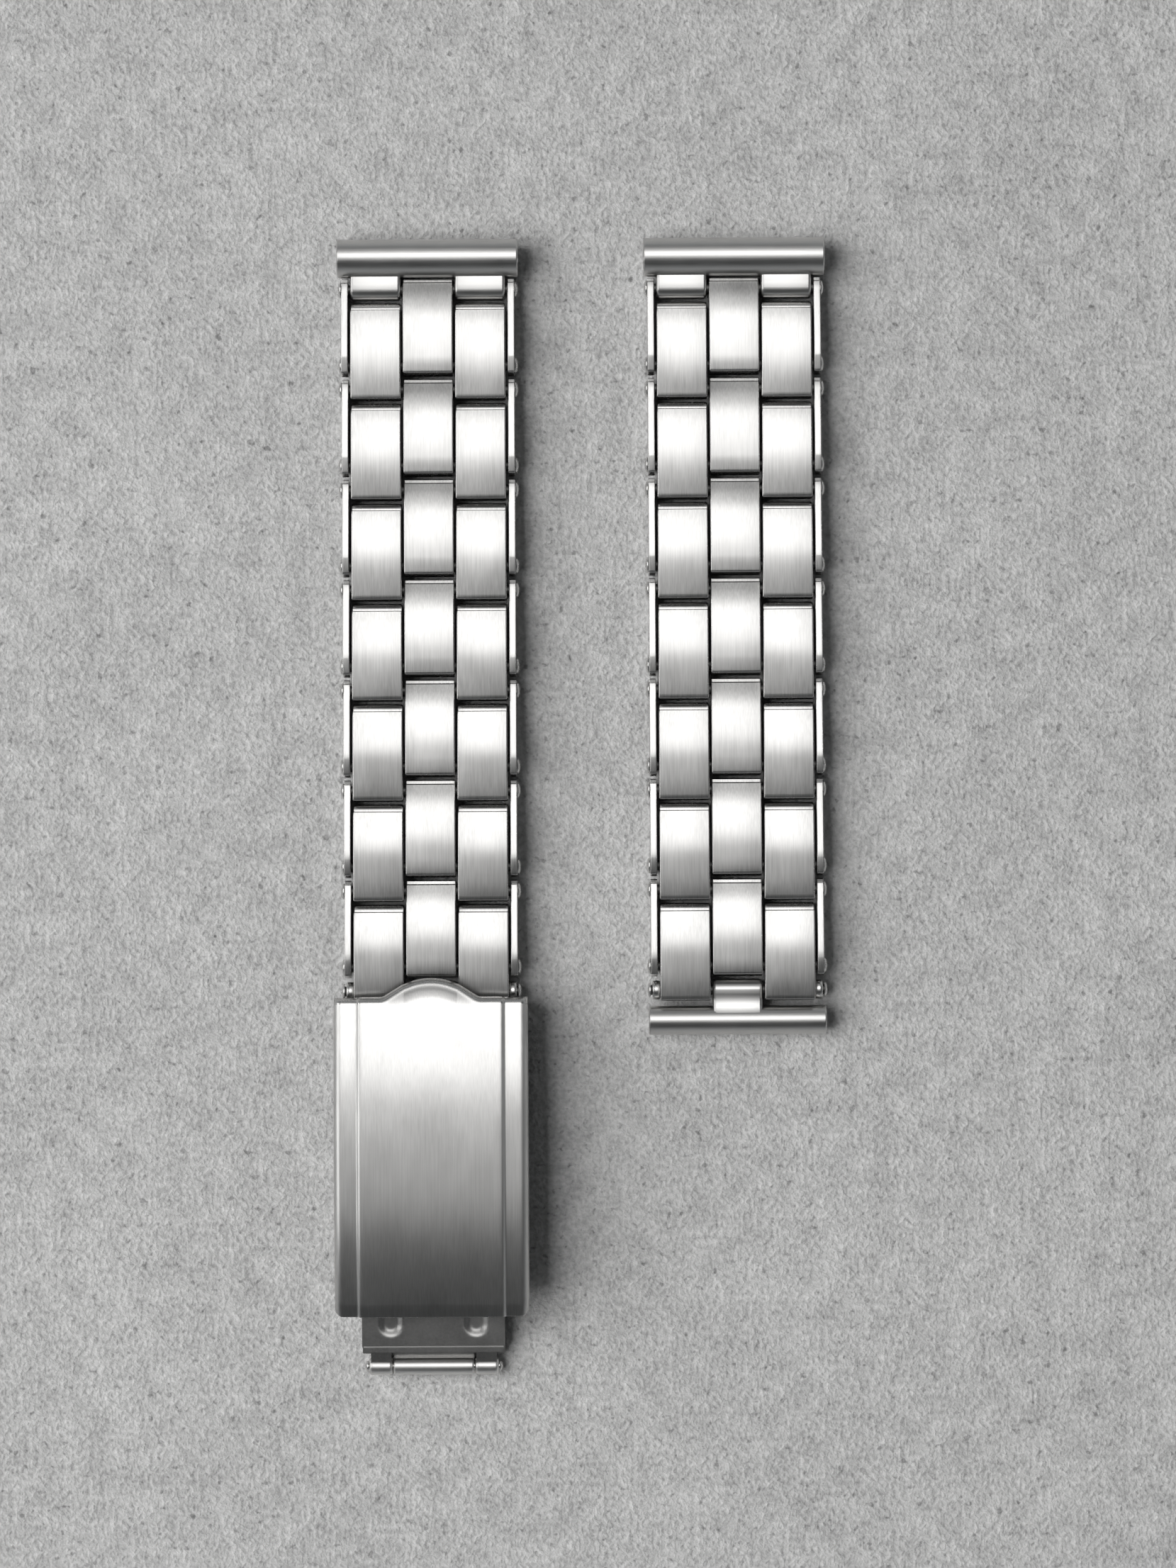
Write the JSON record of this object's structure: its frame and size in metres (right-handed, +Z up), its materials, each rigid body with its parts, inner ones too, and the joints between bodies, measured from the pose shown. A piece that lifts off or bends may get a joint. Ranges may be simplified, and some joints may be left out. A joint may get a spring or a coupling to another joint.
{
  "type": "link watch bracelet",
  "caption": "Steel watch bracelet in two halves: sprung stretch links on rivets, lug bars, and a folding clasp whose holes take the other half's end bar.",
  "frame": {"origin": "on the ground, in the middle of the box around both halves", "axes": "+Y along both halves towards the watch, +X across them from the clasp half to the other, +Z up, out of the top side"},
  "size_m": [0.0486, 0.1122, 0.0069],
  "materials": {
    "brushed_steel": "brushed along the bracelet",
    "satin_steel": "satin",
    "blade_steel": "satin sheet",
    "spring_steel": "rolled spring sheet",
    "polished_steel": "polished"
  },
  "bodies": {
    "lug_bars": {"lug_bar_left": "satin_steel", "lug_bar_right": "satin_steel"},
    "bridge_left_1": {"link_bridge_left_1": "brushed_steel"},
    "springs_left_1": {"link_springs_left_1": "spring_steel"},
    "outer_left_1": {"outer_links_left_1": "brushed_steel"},
    "bridge_left_2": {"link_bridge_left_2": "brushed_steel"},
    "springs_left_2": {"link_springs_left_2": "spring_steel"},
    "outer_left_2": {"outer_links_left_2": "brushed_steel"},
    "bridge_left_3": {"link_bridge_left_3": "brushed_steel"},
    "springs_left_3": {"link_springs_left_3": "spring_steel"},
    "outer_left_3": {"outer_links_left_3": "brushed_steel"},
    "bridge_left_4": {"link_bridge_left_4": "brushed_steel"},
    "springs_left_4": {"link_springs_left_4": "spring_steel"},
    "outer_left_4": {"outer_links_left_4": "brushed_steel"},
    "bridge_left_5": {"link_bridge_left_5": "brushed_steel"},
    "springs_left_5": {"link_springs_left_5": "spring_steel"},
    "outer_left_5": {"outer_links_left_5": "brushed_steel"},
    "bridge_left_6": {"link_bridge_left_6": "brushed_steel"},
    "springs_left_6": {"link_springs_left_6": "spring_steel"},
    "outer_left_6": {"outer_links_left_6": "brushed_steel"},
    "bridge_left_7": {"link_bridge_left_7": "brushed_steel"},
    "springs_left_7": {"link_springs_left_7": "spring_steel"},
    "outer_left_7": {"outer_links_left_7": "brushed_steel", "end_rivet_left": "polished_steel", "end_bushes_left": "polished_steel"},
    "bridge_right_1": {"link_bridge_right_1": "brushed_steel"},
    "springs_right_1": {"link_springs_right_1": "spring_steel"},
    "outer_right_1": {"outer_links_right_1": "brushed_steel"},
    "bridge_right_2": {"link_bridge_right_2": "brushed_steel"},
    "springs_right_2": {"link_springs_right_2": "spring_steel"},
    "outer_right_2": {"outer_links_right_2": "brushed_steel"},
    "bridge_right_3": {"link_bridge_right_3": "brushed_steel"},
    "springs_right_3": {"link_springs_right_3": "spring_steel"},
    "outer_right_3": {"outer_links_right_3": "brushed_steel"},
    "bridge_right_4": {"link_bridge_right_4": "brushed_steel"},
    "springs_right_4": {"link_springs_right_4": "spring_steel"},
    "outer_right_4": {"outer_links_right_4": "brushed_steel"},
    "bridge_right_5": {"link_bridge_right_5": "brushed_steel"},
    "springs_right_5": {"link_springs_right_5": "spring_steel"},
    "outer_right_5": {"outer_links_right_5": "brushed_steel"},
    "bridge_right_6": {"link_bridge_right_6": "brushed_steel"},
    "springs_right_6": {"link_springs_right_6": "spring_steel"},
    "outer_right_6": {"outer_links_right_6": "brushed_steel"},
    "bridge_right_7": {"link_bridge_right_7": "brushed_steel"},
    "springs_right_7": {"link_springs_right_7": "spring_steel"},
    "outer_right_7": {"outer_links_right_7": "brushed_steel", "end_rivet_right": "polished_steel", "end_bushes_right": "polished_steel"},
    "lower_blade": {"lower_blade": "blade_steel"},
    "upper_blade": {"upper_blade": "blade_steel", "fold_pin": "polished_steel"},
    "cover": {"clasp_cover": "brushed_steel", "cover_pin": "polished_steel"},
    "end_bar": {"end_bar": "satin_steel"}
  },
  "joints": [
    {"name": "fold_hinge", "type": "hinge", "parent": "lower_blade", "child": "upper_blade", "pos_m": [-0.0148, -0.05523, 0.00088], "axis": [1, 0, 0], "range_deg": [0, 175]},
    {"name": "cover_hinge", "type": "hinge", "parent": "upper_blade", "child": "cover", "pos_m": [-0.0148, -0.0211, 0.00229], "axis": [1, 0, 0], "range_deg": [-175, 0]},
    {"name": "clasp_hinge", "type": "hinge", "parent": "outer_left_7", "child": "lower_blade", "pos_m": [-0.0148, -0.01813, 0.0014], "axis": [1, 0, 0], "range_deg": [-10, 25]},
    {"name": "end_bar_hinge", "type": "hinge", "parent": "outer_right_7", "child": "end_bar", "pos_m": [0.0154, -0.01813, 0.0014], "axis": [1, 0, 0], "range_deg": [-10, 30]},
    {"name": "left_lug_hinge_1", "type": "hinge", "parent": "lug_bars", "child": "bridge_left_1", "pos_m": [-0.0148, 0.05117, 0.0014], "axis": [1, 0, 0], "range_deg": [-10, 30]},
    {"name": "left_stretch_hinge_1", "type": "hinge", "parent": "bridge_left_1", "child": "springs_left_1", "pos_m": [-0.0148, 0.04367, 0.0014], "axis": [1, 0, 0], "range_deg": [-6, 8]},
    {"name": "left_stretch_1", "type": "slide", "parent": "springs_left_1", "child": "outer_left_1", "axis": [0, -1, 0], "range_m": [0, 0.0025], "stiffness_N_per_m": 400, "springref_m": -0.001, "deforming": ["link_springs_left_1"]},
    {"name": "left_link_hinge_2", "type": "hinge", "parent": "outer_left_1", "child": "bridge_left_2", "pos_m": [-0.0148, 0.04127, 0.0014], "axis": [1, 0, 0], "range_deg": [-8, 20]},
    {"name": "left_stretch_hinge_2", "type": "hinge", "parent": "bridge_left_2", "child": "springs_left_2", "pos_m": [-0.0148, 0.03377, 0.0014], "axis": [1, 0, 0], "range_deg": [-6, 8]},
    {"name": "left_stretch_2", "type": "slide", "parent": "springs_left_2", "child": "outer_left_2", "axis": [0, -1, 0], "range_m": [0, 0.0025], "stiffness_N_per_m": 400, "springref_m": -0.001, "deforming": ["link_springs_left_2"]},
    {"name": "left_link_hinge_3", "type": "hinge", "parent": "outer_left_2", "child": "bridge_left_3", "pos_m": [-0.0148, 0.03137, 0.0014], "axis": [1, 0, 0], "range_deg": [-8, 20]},
    {"name": "left_stretch_hinge_3", "type": "hinge", "parent": "bridge_left_3", "child": "springs_left_3", "pos_m": [-0.0148, 0.02387, 0.0014], "axis": [1, 0, 0], "range_deg": [-6, 8]},
    {"name": "left_stretch_3", "type": "slide", "parent": "springs_left_3", "child": "outer_left_3", "axis": [0, -1, 0], "range_m": [0, 0.0025], "stiffness_N_per_m": 400, "springref_m": -0.001, "deforming": ["link_springs_left_3"]},
    {"name": "left_link_hinge_4", "type": "hinge", "parent": "outer_left_3", "child": "bridge_left_4", "pos_m": [-0.0148, 0.02147, 0.0014], "axis": [1, 0, 0], "range_deg": [-8, 20]},
    {"name": "left_stretch_hinge_4", "type": "hinge", "parent": "bridge_left_4", "child": "springs_left_4", "pos_m": [-0.0148, 0.01397, 0.0014], "axis": [1, 0, 0], "range_deg": [-6, 8]},
    {"name": "left_stretch_4", "type": "slide", "parent": "springs_left_4", "child": "outer_left_4", "axis": [0, -1, 0], "range_m": [0, 0.0025], "stiffness_N_per_m": 400, "springref_m": -0.001, "deforming": ["link_springs_left_4"]},
    {"name": "left_link_hinge_5", "type": "hinge", "parent": "outer_left_4", "child": "bridge_left_5", "pos_m": [-0.0148, 0.01157, 0.0014], "axis": [1, 0, 0], "range_deg": [-8, 20]},
    {"name": "left_stretch_hinge_5", "type": "hinge", "parent": "bridge_left_5", "child": "springs_left_5", "pos_m": [-0.0148, 0.00407, 0.0014], "axis": [1, 0, 0], "range_deg": [-6, 8]},
    {"name": "left_stretch_5", "type": "slide", "parent": "springs_left_5", "child": "outer_left_5", "axis": [0, -1, 0], "range_m": [0, 0.0025], "stiffness_N_per_m": 400, "springref_m": -0.001, "deforming": ["link_springs_left_5"]},
    {"name": "left_link_hinge_6", "type": "hinge", "parent": "outer_left_5", "child": "bridge_left_6", "pos_m": [-0.0148, 0.00167, 0.0014], "axis": [1, 0, 0], "range_deg": [-8, 20]},
    {"name": "left_stretch_hinge_6", "type": "hinge", "parent": "bridge_left_6", "child": "springs_left_6", "pos_m": [-0.0148, -0.00583, 0.0014], "axis": [1, 0, 0], "range_deg": [-6, 8]},
    {"name": "left_stretch_6", "type": "slide", "parent": "springs_left_6", "child": "outer_left_6", "axis": [0, -1, 0], "range_m": [0, 0.0025], "stiffness_N_per_m": 400, "springref_m": -0.001, "deforming": ["link_springs_left_6"]},
    {"name": "left_link_hinge_7", "type": "hinge", "parent": "outer_left_6", "child": "bridge_left_7", "pos_m": [-0.0148, -0.00823, 0.0014], "axis": [1, 0, 0], "range_deg": [-8, 20]},
    {"name": "left_stretch_hinge_7", "type": "hinge", "parent": "bridge_left_7", "child": "springs_left_7", "pos_m": [-0.0148, -0.01573, 0.0014], "axis": [1, 0, 0], "range_deg": [-6, 8]},
    {"name": "left_stretch_7", "type": "slide", "parent": "springs_left_7", "child": "outer_left_7", "axis": [0, -1, 0], "range_m": [0, 0.0025], "stiffness_N_per_m": 400, "springref_m": -0.001, "deforming": ["link_springs_left_7"]},
    {"name": "right_lug_hinge_1", "type": "hinge", "parent": "lug_bars", "child": "bridge_right_1", "pos_m": [0.0154, 0.05117, 0.0014], "axis": [1, 0, 0], "range_deg": [-10, 30]},
    {"name": "right_stretch_hinge_1", "type": "hinge", "parent": "bridge_right_1", "child": "springs_right_1", "pos_m": [0.0154, 0.04367, 0.0014], "axis": [1, 0, 0], "range_deg": [-6, 8]},
    {"name": "right_stretch_1", "type": "slide", "parent": "springs_right_1", "child": "outer_right_1", "axis": [0, -1, 0], "range_m": [0, 0.0025], "stiffness_N_per_m": 400, "springref_m": -0.001, "deforming": ["link_springs_right_1"]},
    {"name": "right_link_hinge_2", "type": "hinge", "parent": "outer_right_1", "child": "bridge_right_2", "pos_m": [0.0154, 0.04127, 0.0014], "axis": [1, 0, 0], "range_deg": [-8, 20]},
    {"name": "right_stretch_hinge_2", "type": "hinge", "parent": "bridge_right_2", "child": "springs_right_2", "pos_m": [0.0154, 0.03377, 0.0014], "axis": [1, 0, 0], "range_deg": [-6, 8]},
    {"name": "right_stretch_2", "type": "slide", "parent": "springs_right_2", "child": "outer_right_2", "axis": [0, -1, 0], "range_m": [0, 0.0025], "stiffness_N_per_m": 400, "springref_m": -0.001, "deforming": ["link_springs_right_2"]},
    {"name": "right_link_hinge_3", "type": "hinge", "parent": "outer_right_2", "child": "bridge_right_3", "pos_m": [0.0154, 0.03137, 0.0014], "axis": [1, 0, 0], "range_deg": [-8, 20]},
    {"name": "right_stretch_hinge_3", "type": "hinge", "parent": "bridge_right_3", "child": "springs_right_3", "pos_m": [0.0154, 0.02387, 0.0014], "axis": [1, 0, 0], "range_deg": [-6, 8]},
    {"name": "right_stretch_3", "type": "slide", "parent": "springs_right_3", "child": "outer_right_3", "axis": [0, -1, 0], "range_m": [0, 0.0025], "stiffness_N_per_m": 400, "springref_m": -0.001, "deforming": ["link_springs_right_3"]},
    {"name": "right_link_hinge_4", "type": "hinge", "parent": "outer_right_3", "child": "bridge_right_4", "pos_m": [0.0154, 0.02147, 0.0014], "axis": [1, 0, 0], "range_deg": [-8, 20]},
    {"name": "right_stretch_hinge_4", "type": "hinge", "parent": "bridge_right_4", "child": "springs_right_4", "pos_m": [0.0154, 0.01397, 0.0014], "axis": [1, 0, 0], "range_deg": [-6, 8]},
    {"name": "right_stretch_4", "type": "slide", "parent": "springs_right_4", "child": "outer_right_4", "axis": [0, -1, 0], "range_m": [0, 0.0025], "stiffness_N_per_m": 400, "springref_m": -0.001, "deforming": ["link_springs_right_4"]},
    {"name": "right_link_hinge_5", "type": "hinge", "parent": "outer_right_4", "child": "bridge_right_5", "pos_m": [0.0154, 0.01157, 0.0014], "axis": [1, 0, 0], "range_deg": [-8, 20]},
    {"name": "right_stretch_hinge_5", "type": "hinge", "parent": "bridge_right_5", "child": "springs_right_5", "pos_m": [0.0154, 0.00407, 0.0014], "axis": [1, 0, 0], "range_deg": [-6, 8]},
    {"name": "right_stretch_5", "type": "slide", "parent": "springs_right_5", "child": "outer_right_5", "axis": [0, -1, 0], "range_m": [0, 0.0025], "stiffness_N_per_m": 400, "springref_m": -0.001, "deforming": ["link_springs_right_5"]},
    {"name": "right_link_hinge_6", "type": "hinge", "parent": "outer_right_5", "child": "bridge_right_6", "pos_m": [0.0154, 0.00167, 0.0014], "axis": [1, 0, 0], "range_deg": [-8, 20]},
    {"name": "right_stretch_hinge_6", "type": "hinge", "parent": "bridge_right_6", "child": "springs_right_6", "pos_m": [0.0154, -0.00583, 0.0014], "axis": [1, 0, 0], "range_deg": [-6, 8]},
    {"name": "right_stretch_6", "type": "slide", "parent": "springs_right_6", "child": "outer_right_6", "axis": [0, -1, 0], "range_m": [0, 0.0025], "stiffness_N_per_m": 400, "springref_m": -0.001, "deforming": ["link_springs_right_6"]},
    {"name": "right_link_hinge_7", "type": "hinge", "parent": "outer_right_6", "child": "bridge_right_7", "pos_m": [0.0154, -0.00823, 0.0014], "axis": [1, 0, 0], "range_deg": [-8, 20]},
    {"name": "right_stretch_hinge_7", "type": "hinge", "parent": "bridge_right_7", "child": "springs_right_7", "pos_m": [0.0154, -0.01573, 0.0014], "axis": [1, 0, 0], "range_deg": [-6, 8]},
    {"name": "right_stretch_7", "type": "slide", "parent": "springs_right_7", "child": "outer_right_7", "axis": [0, -1, 0], "range_m": [0, 0.0025], "stiffness_N_per_m": 400, "springref_m": -0.001, "deforming": ["link_springs_right_7"]}
  ],
  "couplings": [
    {"joint": "cover_hinge", "follows": "fold_hinge", "ratio": -1}
  ]
}
